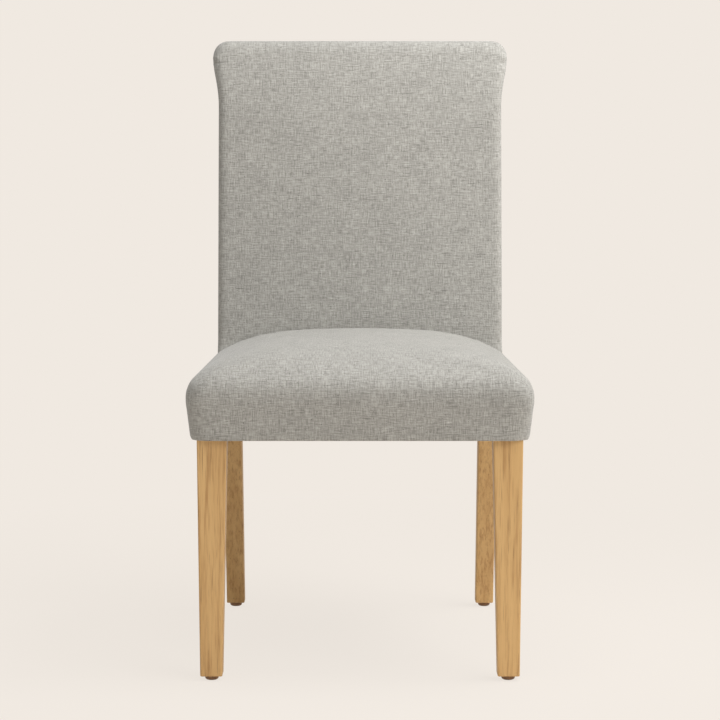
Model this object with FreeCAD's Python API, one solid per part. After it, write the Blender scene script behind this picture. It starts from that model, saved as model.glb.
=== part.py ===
import FreeCAD, Part
import math
import os

os.makedirs("parts", exist_ok=True)
V = FreeCAD.Vector

# A parsons chair: an upholstered seat and rolled back on a glued hardwood frame.
# It is laid out in millimetres with x across the chair, y from the front legs' front faces
# towards the back and z up from the floor, and moved once, on export, to stand over its middle.

# Overall stance
CHAIR_HEIGHT = 943.0
HEEL_Y = 580.0
SEAT_OVERHANG = 15.0

# Front legs: a square top block in the frame's corner and a tapered leg below it
FRONT_LEG_OUTER_X = 234.2
FRONT_LEG_TOP = 43.0
FRONT_FOOT_OUTER_X = 231.2
FRONT_FOOT = 32.0
LEG_CHAMFER = 8.0
LEG_EDGE_CHAMFER = 1.5
FOOT_CHAMFER = 1.2

# Rear posts, each sawn from one plank: a raked leg, a plumb knee at the seat, a leaning back and a round head
POST_OUTER_X = 223.5
POST_THICKNESS = 29.5
POST_KNEE_DEPTH = 44.0
POST_NECK_DEPTH = 28.0
REAR_FOOT_DEPTH = 30.5

# Seat frame
RAIL_HEIGHT = 72.0
RAIL_THICKNESS = 22.0
REAR_RAIL_SETBACK = 5.0
BLOCK_THICKNESS = 25.0
BLOCK_HEIGHT = 50.0
REAR_BLOCK_LEG = 82.0

# Back: a leaning face, a neck that curves rearward and a roll along the top
BACK_FACE_Y = 440.0
SEAT_HEIGHT = 480.0
LEAN = math.radians(8.0)
NECK_Z = 800.0
ROLL_RADIUS = 31.0
ROLL_CENTRE_Y = 547.0
CREST_RADIUS = 21.0
LOWER_RAIL_THICKNESS = 20.0
LOWER_RAIL_HEIGHT = 45.0
LOWER_RAIL_GAP = 22.0

# Upholstery layers, from the outside in
COVER = 1.6
SIDE_BATTING = 5.1
SEAT_BATTING = 8.0
BACK_PAD = 30.0
CLOTH = 0.6
WEBBING = 1.2
COVER_GAP = 0.3

# Seat cushion: a trapezoid with rounded corners, tucked in at the rails and crowned above the bulge
SEAT_BOTTOM = 351.5
SEAT_HALF_WIDTH = 251.0
SEAT_TAPER = 0.0237
SEAT_CORNER_RADIUS = 28.0
SEAT_CROWN_REACH = 160.0
SEAT_TUCK = 7.0
BULGE_HEIGHT = 52.5
CROWN_POWER = 3.0
CROWN_SHARES = (0.3, 0.47, 0.6, 0.7, 0.78, 0.84, 0.89, 0.93, 0.96, 0.98, 0.992)
CORNER_STEPS = 4

# Back cushion
BACK_HALF_WIDTH = 230.2
BACK_NECK_HALF_WIDTH = 222.0
ROLL_HALF_LENGTH = 241.0
ROLL_END_RADIUS = 25.0
BACK_CROWN = 3.0
BACK_EDGE_RADIUS = 13.0
REAR_EDGE_FLAT = 3.0
NECK_TUCK = 1.0
NECK_CROWN = 0.5
NECK_STEPS = 6
CROWN_STEPS = 6
DOME_STEPS = 4
WINDOW_MARGIN = 16.0

# Webbing straps, in counts and widths
STRAP_WIDTH = 48.0
STRAP_COUNT = 5
STRAP_MARGIN = 2.0
BACK_STRAP_COUNT = 4

# Fasteners and small parts
PEG_FLATS = 10
ROUND_FLATS = 28
FLATNESS = 1e-6
DOWEL_RADIUS = 5.0
DOWEL_HALF_LENGTH = 20.0
SIDE_DOWEL_RISE = 24.0
CROSS_DOWEL_RISE = 10.0
BACK_DOWEL_RISE = 11.0
SCREW_RADIUS = 2.0
SCREW_HEAD_RADIUS = 4.0
SCREW_HEAD = 3.0
SCREW_IN_BLOCK = 16.0
SCREW_IN_RAIL = 14.0
BOLT_RADIUS = 3.5
BOLT_IN_LEG = 28.0
BOLT_TAIL = 12.0
WASHER_RADIUS = 9.0
WASHER_THICKNESS = 1.6
NUT_WIDTH = 11.0
NUT_THICKNESS = 6.5
BOLT_CLEARANCE = 0.4
GLIDE_RADIUS = 10.0
GLIDE_FOOT_RADIUS = 6.5
GLIDE_HEIGHT = 7.0
GLIDE_BEVEL = 4.0
NAIL_RADIUS = 1.3
NAIL_HEAD_RADIUS = 3.0
NAIL_HEAD_RECESS = 1.0
NAIL_HEAD = 1.2
NAIL_IN_LEG = 14.0
DUST_COVER_INSET = 8.0
TACK_STRIP_WIDTH = 12.0
TACK_STRIP_DROP = 6.0

# Levels that follow from them
RAIL_BOTTOM = SEAT_BOTTOM + COVER
RAIL_TOP = RAIL_BOTTOM + RAIL_HEIGHT
RAIL_MIDDLE = RAIL_BOTTOM + RAIL_HEIGHT / 2
DECK_TOP = RAIL_TOP + 2 * WEBBING + CLOTH
BULGE_Z = SEAT_BOTTOM + BULGE_HEIGHT
POST_INNER_X = POST_OUTER_X - POST_THICKNESS
FRONT_LEG_INNER_X = FRONT_LEG_OUTER_X - FRONT_LEG_TOP

# The back's side view: its face, its neck and its roll
UP = V(0, math.sin(LEAN), math.cos(LEAN))
BEHIND = V(0, math.cos(LEAN), -math.sin(LEAN))
SEAT_LINE = V(0, BACK_FACE_Y, SEAT_HEIGHT)
NECK_START = SEAT_LINE + UP * ((NECK_Z - SEAT_HEIGHT) / math.cos(LEAN))
ROLL_CENTRE = V(0, ROLL_CENTRE_Y, CHAIR_HEIGHT - ROLL_RADIUS)
TO_ROLL = ROLL_CENTRE - NECK_START
# The one arc that leaves the face at the neck's start and runs smoothly into the roll
NECK_RADIUS = (TO_ROLL.dot(TO_ROLL) - ROLL_RADIUS**2) / (2 * (TO_ROLL.dot(BEHIND) - ROLL_RADIUS))
NECK_CENTRE = NECK_START + BEHIND * NECK_RADIUS
NECK_ANGLE = math.atan2(ROLL_CENTRE.z - NECK_CENTRE.z, NECK_CENTRE.y - ROLL_CENTRE.y) - LEAN


def face_point(depth, z):
    """The point at height z, a depth behind the back's leaning front face."""
    return V(0, BACK_FACE_Y + (z - SEAT_HEIGHT) * math.tan(LEAN) + depth / math.cos(LEAN), z)


def neck_point(depth, share):
    """The point a depth behind the neck's arc, which runs from share 0 to share 1 at the roll."""
    angle = LEAN + share * NECK_ANGLE
    out = V(0, -math.cos(angle), math.sin(angle))
    return NECK_CENTRE + out * (NECK_RADIUS - depth)


KNEE_Y = face_point(BACK_PAD, RAIL_TOP).y
KNEE_REAR_Y = KNEE_Y + POST_KNEE_DEPTH
REAR_RAIL_Y = KNEE_Y + REAR_RAIL_SETBACK
POST_NECK_REAR = BACK_PAD + POST_NECK_DEPTH
POST_HEAD_REAR = ROLL_RADIUS + CREST_RADIUS


def rear_depth(share):
    """How far the posts' rear faces lie behind the neck's arc at a share of it."""
    return POST_NECK_REAR + (POST_HEAD_REAR - POST_NECK_REAR) * share


# Plain shapes
def box(x0, x1, y0, y1, z0, z1):
    return Part.makeBox(x1 - x0, y1 - y0, z1 - z0, V(x0, y0, z0))


def rod(radius, start, end):
    axis = end - start
    return Part.makeCylinder(radius, axis.Length, start, axis)


def facet(points):
    return Part.Face(Part.makePolygon(points + points[:1]))


def faceted(loops):
    """A solid through loops of matching points: flat faces between the loops and a lid on each end."""
    faces = [facet(loops[0]), facet(loops[-1])]
    for low, high in zip(loops, loops[1:]):
        for k in range(len(low)):
            quad = [low[k - 1], low[k], high[k], high[k - 1]]
            normal = (quad[1] - quad[0]).cross(quad[2] - quad[0]).normalize()
            if abs(normal.dot(quad[3] - quad[0])) < FLATNESS:
                faces.append(facet(quad))
            else:
                faces += [facet(quad[:3]), facet([quad[0], quad[2], quad[3]])]
    shell = Part.Shell(faces)
    shell.sewShape()
    solid = Part.Solid(shell)
    return solid if solid.Volume > 0 else faceted([loop[::-1] for loop in loops])


def ring(centre, axis, radius, flats):
    """Points evenly round a circle about an axis."""
    turn = FreeCAD.Rotation(V(0, 0, 1), axis)
    angles = [2 * math.pi * k / flats for k in range(flats)]
    return [centre + turn.multVec(V(math.cos(a), math.sin(a), 0)) * radius for a in angles]


def peg(start, end, start_radius, end_radius=None):
    """A small round part or its hole, straight or tapered, with flats all round."""
    axis = end - start
    return faceted([
        ring(start, axis, start_radius, PEG_FLATS),
        ring(end, axis, end_radius or start_radius, PEG_FLATS),
    ])


def edges_along(start, steps):
    """Edges from start along the steps: a point ends a line, a pair is an arc's middle and end."""
    edges = []
    here = start
    for step in steps:
        if isinstance(step, tuple):
            edges.append(Part.Arc(here, step[0], step[1]).toShape())
            here = step[1]
        else:
            edges.append(Part.LineSegment(here, step).toShape())
            here = step
    return edges


def side_solid(x0, x1, start, steps):
    """A solid between two x planes with the side view that the steps go round."""
    face = Part.Face(Part.Wire(edges_along(start, steps + [start])))
    face.translate(V(x0, 0, 0))
    return face.extrude(V(x1 - x0, 0, 0))


def plan_solid(z0, z1, corners):
    """An upright prism over the corners of its plan."""
    points = [V(x, y, z0) for x, y in corners]
    return Part.Face(Part.makePolygon(points + points[:1])).extrude(V(0, 0, z1 - z0))


def mirrored(shape):
    return shape.mirror(V(0, 0, 0), V(1, 0, 0))


def rounded_loop(corners, radius):
    """Points of a level outline past the corners, each rounded in a few short steps."""
    points = []
    for k, corner in enumerate(corners):
        before = (corners[k - 1] - corner).normalize()
        after = (corners[(k + 1) % len(corners)] - corner).normalize()
        half = before.getAngle(after) / 2
        centre = corner + (before + after).normalize() * (radius / math.sin(half))
        start = corner + before * (radius / math.tan(half)) - centre
        for step in range(CORNER_STEPS + 1):
            turn = FreeCAD.Rotation(V(0, 0, 1), math.degrees(math.pi - 2 * half) * step / CORNER_STEPS)
            points.append(centre + turn.multVec(start))
    return points


def upright_edges(shape):
    return [e for e in shape.Edges if abs(e.tangentAt(e.FirstParameter).z) > 0.9]


def foot_edges(shape):
    return [e for e in shape.Edges if e.BoundBox.ZMax < GLIDE_HEIGHT + 0.1]


def eased_leg(shape):
    """A leg with its long edges and its foot's edges eased by narrow flats."""
    eased = shape.makeChamfer(LEG_EDGE_CHAMFER, upright_edges(shape))
    return eased.makeChamfer(FOOT_CHAMFER, foot_edges(eased))


pieces = {}


def bore(tool, *names):
    """Cut a hole of the tool's shape in each named piece."""
    for name in names:
        pieces[name] = pieces[name].cut(tool)


# Wooden frame
def front_leg():
    """The right front leg, whose top block has a flat for the corner block."""
    foot = [
        V(FRONT_FOOT_OUTER_X - FRONT_FOOT, 0, GLIDE_HEIGHT),
        V(FRONT_FOOT_OUTER_X, 0, GLIDE_HEIGHT),
        V(FRONT_FOOT_OUTER_X, FRONT_FOOT, GLIDE_HEIGHT),
        V(FRONT_FOOT_OUTER_X - FRONT_FOOT, FRONT_FOOT, GLIDE_HEIGHT),
    ]
    top = [
        V(FRONT_LEG_INNER_X, 0, RAIL_BOTTOM),
        V(FRONT_LEG_OUTER_X, 0, RAIL_BOTTOM),
        V(FRONT_LEG_OUTER_X, FRONT_LEG_TOP, RAIL_BOTTOM),
        V(FRONT_LEG_INNER_X, FRONT_LEG_TOP, RAIL_BOTTOM),
    ]
    wires = [Part.makePolygon(loop + loop[:1]) for loop in (foot, top)]
    leg = eased_leg(Part.makeLoft(wires, True, True))
    block = plan_solid(RAIL_BOTTOM, RAIL_TOP, [
        (FRONT_LEG_INNER_X, 0),
        (FRONT_LEG_OUTER_X, 0),
        (FRONT_LEG_OUTER_X, FRONT_LEG_TOP),
        (FRONT_LEG_INNER_X + LEG_CHAMFER, FRONT_LEG_TOP),
        (FRONT_LEG_INNER_X, FRONT_LEG_TOP - LEG_CHAMFER),
    ])
    return leg.fuse(block)


def rear_post():
    """The right rear post: its raked leg, then knee, back and round head in one piece."""
    leg = side_solid(POST_INNER_X, POST_OUTER_X, V(0, HEEL_Y - REAR_FOOT_DEPTH, GLIDE_HEIGHT), [
        V(0, KNEE_Y, RAIL_BOTTOM),
        V(0, KNEE_REAR_Y, RAIL_BOTTOM),
        V(0, HEEL_Y, GLIDE_HEIGHT),
    ])
    back = side_solid(POST_INNER_X, POST_OUTER_X, V(0, KNEE_Y, RAIL_BOTTOM), [
        V(0, KNEE_Y, RAIL_TOP),
        neck_point(BACK_PAD, 0),
        (neck_point(BACK_PAD, 0.5), neck_point(BACK_PAD, 1)),
        neck_point(POST_HEAD_REAR, 1),
        (neck_point(rear_depth(0.5), 0.5), neck_point(POST_NECK_REAR, 0)),
        V(0, KNEE_REAR_Y, RAIL_TOP),
        V(0, KNEE_REAR_Y, RAIL_BOTTOM),
    ])
    head = rod(CREST_RADIUS, ROLL_CENTRE + V(POST_INNER_X, 0, 0), ROLL_CENTRE + V(POST_OUTER_X, 0, 0))
    return eased_leg(leg).fuse(back).fuse(head)


def side_rail_outer(y):
    """The side rail's outer face runs straight from the front leg's outer face to the post's."""
    share = (y - FRONT_LEG_TOP) / (KNEE_Y - FRONT_LEG_TOP)
    return FRONT_LEG_OUTER_X + share * (POST_OUTER_X - FRONT_LEG_OUTER_X)


def side_rail():
    return plan_solid(RAIL_BOTTOM, RAIL_TOP, [
        (side_rail_outer(FRONT_LEG_TOP) - RAIL_THICKNESS, FRONT_LEG_TOP),
        (side_rail_outer(FRONT_LEG_TOP), FRONT_LEG_TOP),
        (side_rail_outer(KNEE_Y), KNEE_Y),
        (side_rail_outer(KNEE_Y) - RAIL_THICKNESS, KNEE_Y),
    ])


def front_block():
    """The right front corner block, set square across the corner against the leg's flat."""
    bottom = RAIL_MIDDLE - BLOCK_HEIGHT / 2
    near = FRONT_LEG_INNER_X + LEG_CHAMFER - FRONT_LEG_TOP
    far = near - BLOCK_THICKNESS * math.sqrt(2)
    reach = FRONT_LEG_OUTER_X - RAIL_THICKNESS / 2
    bar = plan_solid(bottom, bottom + BLOCK_HEIGHT, [
        (far + RAIL_THICKNESS, RAIL_THICKNESS),
        (near + RAIL_THICKNESS, RAIL_THICKNESS),
        (reach, reach - near),
        (reach, reach - far),
    ])
    return bar.cut(pieces["seat_right_rail"]).cut(pieces["front_right_leg"])


def rear_block():
    """The right rear corner block, a triangle cut round the post."""
    bottom = RAIL_MIDDLE - BLOCK_HEIGHT / 2
    reach = POST_OUTER_X - RAIL_THICKNESS / 2
    triangle = plan_solid(bottom, bottom + BLOCK_HEIGHT, [
        (reach, REAR_RAIL_Y - REAR_BLOCK_LEG),
        (reach, REAR_RAIL_Y),
        (reach - REAR_BLOCK_LEG, REAR_RAIL_Y),
    ])
    return triangle.cut(pieces["seat_right_rail"]).cut(pieces["rear_right_post"])


def make_frame():
    pieces["front_right_leg"] = front_leg()
    pieces["rear_right_post"] = rear_post()
    pieces["seat_right_rail"] = side_rail()
    pieces["front_right_corner_block"] = front_block()
    pieces["rear_right_corner_block"] = rear_block()
    for name in list(pieces):
        pieces[name.replace("right", "left")] = mirrored(pieces[name])
    pieces["seat_front_rail"] = box(
        -FRONT_LEG_INNER_X, FRONT_LEG_INNER_X, 0, RAIL_THICKNESS, RAIL_BOTTOM, RAIL_TOP)
    pieces["seat_rear_rail"] = box(
        -POST_INNER_X, POST_INNER_X, REAR_RAIL_Y, REAR_RAIL_Y + RAIL_THICKNESS, RAIL_BOTTOM, RAIL_TOP)
    rail_foot = face_point(BACK_PAD, RAIL_TOP + LOWER_RAIL_GAP)
    pieces["back_lower_rail"] = side_solid(-POST_INNER_X, POST_INNER_X, rail_foot, [
        rail_foot + UP * LOWER_RAIL_HEIGHT,
        rail_foot + UP * LOWER_RAIL_HEIGHT + BEHIND * LOWER_RAIL_THICKNESS,
        rail_foot + BEHIND * LOWER_RAIL_THICKNESS,
    ])
    pieces["crest_rail"] = rod(
        CREST_RADIUS, ROLL_CENTRE - V(POST_INNER_X, 0, 0), ROLL_CENTRE + V(POST_INNER_X, 0, 0))


# Fasteners: each is made once and its own shape bores the wood
def dowel(centre, along):
    return peg(centre - along * DOWEL_HALF_LENGTH, centre + along * DOWEL_HALF_LENGTH, DOWEL_RADIUS)


def make_dowels():
    seat = []
    back = []
    for side, hand in ((1, "right"), (-1, "left")):
        leg = f"front_{hand}_leg"
        post = f"rear_{hand}_post"
        rail = f"seat_{hand}_rail"
        across = V(side, 0, 0)
        for rise in (-1, 1):
            low = V(0, 0, RAIL_MIDDLE + rise * CROSS_DOWEL_RISE)
            high = V(0, 0, RAIL_MIDDLE + rise * SIDE_DOWEL_RISE)
            front_x = side * (side_rail_outer(FRONT_LEG_TOP) - RAIL_THICKNESS / 2)
            rear_x = side * (side_rail_outer(KNEE_Y) - RAIL_THICKNESS / 2)
            rear_y = REAR_RAIL_Y + RAIL_THICKNESS / 2
            joints = (
                (V(side * FRONT_LEG_INNER_X, RAIL_THICKNESS / 2, 0) + low, across, leg, "seat_front_rail"),
                (V(side * POST_INNER_X, rear_y, 0) + low, across, post, "seat_rear_rail"),
                (V(front_x, FRONT_LEG_TOP, 0) + high, V(0, 1, 0), leg, rail),
                (V(rear_x, KNEE_Y, 0) + high, V(0, 1, 0), post, rail),
            )
            for centre, along, first, second in joints:
                seat.append(dowel(centre, along))
                bore(seat[-1], first, second)
            shift = UP * (rise * BACK_DOWEL_RISE)
            rail_middle = face_point(BACK_PAD, RAIL_TOP + LOWER_RAIL_GAP)
            rail_middle += UP * (LOWER_RAIL_HEIGHT / 2) + BEHIND * (LOWER_RAIL_THICKNESS / 2)
            for centre, name in ((rail_middle, "back_lower_rail"), (ROLL_CENTRE, "crest_rail")):
                back.append(dowel(V(side * POST_INNER_X, 0, 0) + centre + shift, across))
                bore(back[-1], post, name)
    pieces["seat_rail_dowels"] = Part.makeCompound(seat)
    pieces["back_rail_dowels"] = Part.makeCompound(back)


def block_screw(joint, into):
    """A screw that crosses the joint between a block and a rail, and its clear way in from the block."""
    top = joint - into * SCREW_IN_BLOCK
    cone = peg(top, top + into * SCREW_HEAD, SCREW_HEAD_RADIUS, SCREW_RADIUS)
    shank = peg(top, joint + into * SCREW_IN_RAIL, SCREW_RADIUS)
    way_in = peg(top - into * BLOCK_THICKNESS * 2, top, SCREW_HEAD_RADIUS)
    return cone.fuse(shank), way_in


def make_screws():
    screws = []
    front_near = FRONT_LEG_INNER_X + LEG_CHAMFER - FRONT_LEG_TOP
    front_x = front_near + RAIL_THICKNESS - SCREW_HEAD_RADIUS * 2.5
    front_y = FRONT_LEG_OUTER_X - RAIL_THICKNESS - front_near + SCREW_HEAD_RADIUS * 2.5
    rear_reach = POST_OUTER_X - RAIL_THICKNESS / 2
    rear_x = rear_reach - REAR_BLOCK_LEG * 0.66
    rear_y = REAR_RAIL_Y - REAR_BLOCK_LEG * 0.66
    for side, hand in ((1, "right"), (-1, "left")):
        rail = f"seat_{hand}_rail"
        outward = V(side, 0, 0)
        joints = (
            (V(side * front_x, RAIL_THICKNESS, RAIL_MIDDLE), V(0, -1, 0), "front", "seat_front_rail"),
            (V(side * (side_rail_outer(front_y) - RAIL_THICKNESS), front_y, RAIL_MIDDLE), outward,
             "front", rail),
            (V(side * rear_x, REAR_RAIL_Y, RAIL_MIDDLE), V(0, 1, 0), "rear", "seat_rear_rail"),
            (V(side * (side_rail_outer(rear_y) - RAIL_THICKNESS), rear_y, RAIL_MIDDLE), outward,
             "rear", rail),
        )
        for joint, into, end, wood in joints:
            block = f"{end}_{hand}_corner_block"
            screw, way_in = block_screw(joint, into)
            bore(screw, block, wood)
            bore(way_in, block)
            screws.append(screw)
    pieces["corner_block_screws"] = Part.makeCompound(screws)


def make_bolts():
    """A hanger bolt from each front leg's flat through its corner block, with washer and nut."""
    bolts = []
    washers = []
    nuts = []
    flat_x = FRONT_LEG_INNER_X + LEG_CHAMFER / 2
    flat_y = FRONT_LEG_TOP - LEG_CHAMFER / 2
    for side, hand in ((1, "right"), (-1, "left")):
        outward = V(side, -1, 0).normalize()
        flat = V(side * flat_x, flat_y, RAIL_MIDDLE)
        face = flat - outward * BLOCK_THICKNESS
        bolt = peg(face - outward * BOLT_TAIL, flat + outward * BOLT_IN_LEG, BOLT_RADIUS)
        bore(bolt, f"front_{hand}_leg")
        clear = peg(face - outward, flat + outward * BOLT_CLEARANCE, BOLT_RADIUS + BOLT_CLEARANCE)
        bore(clear, f"front_{hand}_corner_block")
        washer = rod(WASHER_RADIUS, face - outward * WASHER_THICKNESS, face)
        washers.append(washer.cut(peg(face - outward * BOLT_TAIL, face, BOLT_RADIUS + BOLT_CLEARANCE)))
        seat = face - outward * WASHER_THICKNESS
        hexagon = Part.makePolygon([
            V(0, 0, 0) + V(math.cos(k * math.pi / 3), math.sin(k * math.pi / 3), 0)
            * (NUT_WIDTH / math.sqrt(3)) for k in range(7)])
        nut = Part.Face(hexagon).extrude(V(0, 0, NUT_THICKNESS))
        nut.Placement = FreeCAD.Placement(seat, FreeCAD.Rotation(V(0, 0, 1), outward * -1))
        nuts.append(nut.cut(bolt))
        bolts.append(bolt)
    pieces["leg_hanger_bolts"] = Part.makeCompound(bolts)
    pieces["hanger_bolt_washers"] = Part.makeCompound(washers)
    pieces["hanger_bolt_nuts"] = Part.makeCompound(nuts)


def glide(x, y):
    """A bevelled glide under a foot, and the nail that holds it."""
    levels = ((0, GLIDE_FOOT_RADIUS), (GLIDE_BEVEL, GLIDE_RADIUS), (GLIDE_HEIGHT, GLIDE_RADIUS))
    body = faceted([ring(V(0, 0, z), V(0, 0, 1), radius, ROUND_FLATS) for z, radius in levels])
    recess = V(0, 0, NAIL_HEAD_RECESS)
    head = peg(recess, recess + V(0, 0, NAIL_HEAD), NAIL_HEAD_RADIUS)
    nail = head.fuse(peg(recess, V(0, 0, GLIDE_HEIGHT + NAIL_IN_LEG), NAIL_RADIUS))
    body = body.cut(nail).cut(peg(V(0, 0, 0), recess, NAIL_HEAD_RADIUS))
    for shape in (body, nail):
        shape.translate(V(x, y, 0))
    return body, nail


def make_glides():
    nails = []
    front_x = FRONT_FOOT_OUTER_X - FRONT_FOOT / 2
    rear_x = POST_OUTER_X - POST_THICKNESS / 2
    rear_y = HEEL_Y - REAR_FOOT_DEPTH / 2
    for side, hand in ((1, "right"), (-1, "left")):
        for end, wood, x, y in (("front", "leg", front_x, FRONT_FOOT / 2), ("rear", "post", rear_x, rear_y)):
            body, nail = glide(side * x, y)
            pieces[f"{end}_{hand}_glide"] = body
            bore(nail, f"{end}_{hand}_{wood}")
            nails.append(nail)
    pieces["glide_nails"] = Part.makeCompound(nails)


# Webbing: each strap passes over and under the straps that it crosses
def strap_levels(index, centres, over):
    """Places along a strap with its level there, 1 over a crossing and 0 under it."""
    reach = STRAP_WIDTH / 2 + STRAP_MARGIN
    places = []
    for k, centre in enumerate(centres):
        level = 1 if ((index + k) % 2 == 0) == over else 0
        places += [(centre - reach, level), (centre + reach, level)]
    return places


def strap(places, along, across, middle):
    """A flat strap through the places, lying on the rails."""
    under = [along * place + V(0, 0, RAIL_TOP + level * WEBBING) for place, level in places]
    over = [point + V(0, 0, WEBBING) for point in reversed(under)]
    face = Part.Face(Part.makePolygon(under + over + under[:1]))
    face.translate(across * (middle - STRAP_WIDTH / 2))
    return face.extrude(across * STRAP_WIDTH)


def spaced(first, last):
    return [first + (last - first) * k / (STRAP_COUNT - 1) for k in range(STRAP_COUNT)]


def make_seat_webbing():
    half = STRAP_WIDTH / 2 + 2 * STRAP_MARGIN
    columns = spaced(half - POST_INNER_X, POST_INNER_X - half)
    rows = spaced(FRONT_LEG_TOP + half, KNEE_Y - half)
    rear_end = REAR_RAIL_Y + RAIL_THICKNESS - STRAP_MARGIN
    lengthwise = []
    for k, x in enumerate(columns):
        places = [(STRAP_MARGIN, 0), (RAIL_THICKNESS, 0)]
        places += strap_levels(k, rows, True)
        places += [(REAR_RAIL_Y, 0), (rear_end, 0)]
        lengthwise.append(strap(places, V(0, 1, 0), V(1, 0, 0), x))
    crosswise = []
    for k, y in enumerate(rows):
        outer = side_rail_outer(y + STRAP_WIDTH / 2) - STRAP_MARGIN
        inner = side_rail_outer(y) - RAIL_THICKNESS + STRAP_MARGIN
        places = [(-outer, 0), (-inner, 0)]
        places += strap_levels(k, columns, False)
        places += [(inner, 0), (outer, 0)]
        crosswise.append(strap(places, V(1, 0, 0), V(0, 1, 0), y))
    pieces["seat_webbing_lengthwise"] = Part.makeCompound(lengthwise)
    pieces["seat_webbing_crosswise"] = Part.makeCompound(crosswise)
    pieces["seat_deck_cloth"] = plan_solid(DECK_TOP - CLOTH, DECK_TOP, [
        (-side_rail_outer(0) + STRAP_MARGIN, STRAP_MARGIN),
        (side_rail_outer(0) - STRAP_MARGIN, STRAP_MARGIN),
        (side_rail_outer(rear_end) - STRAP_MARGIN, rear_end),
        (-side_rail_outer(rear_end) + STRAP_MARGIN, rear_end),
    ])
    bore(pieces["rear_right_post"], "seat_deck_cloth")
    bore(pieces["rear_left_post"], "seat_deck_cloth")


# Seat cushion
def seat_loop(z, crown_inset, layer):
    """The cushion's outline at one height, a layer inside the cover and drawn in by the crown."""
    inset = crown_inset + layer
    front = -SEAT_OVERHANG + inset
    rear = BACK_FACE_Y + SEAT_CROWN_REACH - inset
    half_front = SEAT_HALF_WIDTH - inset
    half_rear = half_front - SEAT_TAPER * (rear - front)
    corners = [V(-half_front, front, z), V(half_front, front, z), V(half_rear, rear, z), V(-half_rear, rear, z)]
    return rounded_loop(corners, SEAT_CORNER_RADIUS + crown_inset * 0.18 - layer)


def seat_form(layer):
    """The cushion's full form: straight tucked sides, then a crown that rises as it closes."""
    low = SEAT_BOTTOM - SEAT_TUCK
    loops = []
    for share in (1.0, 0.45):
        loops.append(seat_loop(BULGE_Z + (low - BULGE_Z) * share, SEAT_TUCK * share, layer))
    loops.append(seat_loop(BULGE_Z, 0, layer))
    rise = SEAT_HEIGHT + 1.0 - BULGE_Z - layer
    for share in CROWN_SHARES:
        closing = 1 - (1 - share**CROWN_POWER) ** (1 / CROWN_POWER)
        loops.append(seat_loop(BULGE_Z + rise * share, (SEAT_HALF_WIDTH - layer) * closing, layer))
    form = faceted(loops)
    plane = -(COVER_GAP + layer)
    beyond = V(0, HEEL_Y * 2, 0)
    behind = side_solid(-CHAIR_HEIGHT, CHAIR_HEIGHT, face_point(plane, 0), [
        face_point(plane, CHAIR_HEIGHT),
        face_point(plane, CHAIR_HEIGHT) + beyond,
        face_point(plane, 0) + beyond,
    ])
    return form.cut(behind)


def above(shape, z):
    return shape.cut(box(-CHAIR_HEIGHT, CHAIR_HEIGHT, -CHAIR_HEIGHT, CHAIR_HEIGHT, -CHAIR_HEIGHT, z))


def frame_prism(z0, z1):
    """The space that the seat frame fills in plan, past the posts."""
    beyond = KNEE_REAR_Y
    return plan_solid(z0, z1, [
        (-FRONT_LEG_OUTER_X, 0),
        (FRONT_LEG_OUTER_X, 0),
        (FRONT_LEG_OUTER_X, FRONT_LEG_TOP),
        (POST_OUTER_X, KNEE_Y),
        (POST_OUTER_X, beyond),
        (-POST_OUTER_X, beyond),
        (-POST_OUTER_X, KNEE_Y),
        (-FRONT_LEG_OUTER_X, FRONT_LEG_TOP),
    ])


def make_seat_cushion():
    outer = seat_form(0)
    lining = seat_form(COVER)
    core = seat_form(COVER + SEAT_BATTING)
    frame = frame_prism(0, DECK_TOP)
    foam = above(core, DECK_TOP)
    pieces["seat_foam"] = foam
    pieces["seat_batting"] = above(lining, RAIL_BOTTOM).cut(foam).cut(frame)
    shell = above(outer, SEAT_BOTTOM).cut(lining)
    low_loop = facet(seat_loop(SEAT_BOTTOM, SEAT_TUCK, 0)).extrude(V(0, 0, COVER))
    opening = facet(seat_loop(SEAT_BOTTOM, SEAT_TUCK, RAIL_THICKNESS)).extrude(V(0, 0, COVER))
    flange = low_loop.cut(opening).common(outer)
    for side in (-1, 1):
        inner = side * (FRONT_LEG_INNER_X - COVER_GAP)
        outer_x = side * (FRONT_LEG_OUTER_X + COVER_GAP)
        flange = flange.cut(box(
            min(inner, outer_x), max(inner, outer_x),
            -COVER_GAP, FRONT_LEG_TOP + COVER_GAP, SEAT_BOTTOM, RAIL_BOTTOM))
    pieces["seat_cover"] = shell.cut(frame_prism(RAIL_BOTTOM, DECK_TOP)).fuse(flange)


def make_dust_cover():
    front = DUST_COVER_INSET
    rear = REAR_RAIL_Y + RAIL_THICKNESS - DUST_COVER_INSET
    half_front = side_rail_outer(front) - DUST_COVER_INSET
    half_rear = side_rail_outer(rear) - DUST_COVER_INSET
    sheet = plan_solid(SEAT_BOTTOM - CLOTH, SEAT_BOTTOM, [
        (-half_front, front), (half_front, front), (half_rear, rear), (-half_rear, rear)])
    for side in (-1, 1):
        leg = side * (FRONT_LEG_INNER_X - COVER)
        post = side * (POST_INNER_X - COVER)
        edge = side * SEAT_HALF_WIDTH
        leg_corner = box(min(leg, edge), max(leg, edge), 0, FRONT_LEG_TOP + COVER, 0, SEAT_BOTTOM)
        post_corner = box(min(post, edge), max(post, edge), KNEE_Y - COVER, HEEL_Y, 0, SEAT_BOTTOM)
        sheet = sheet.cut(leg_corner).cut(post_corner)
    pieces["dust_cover"] = sheet


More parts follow.
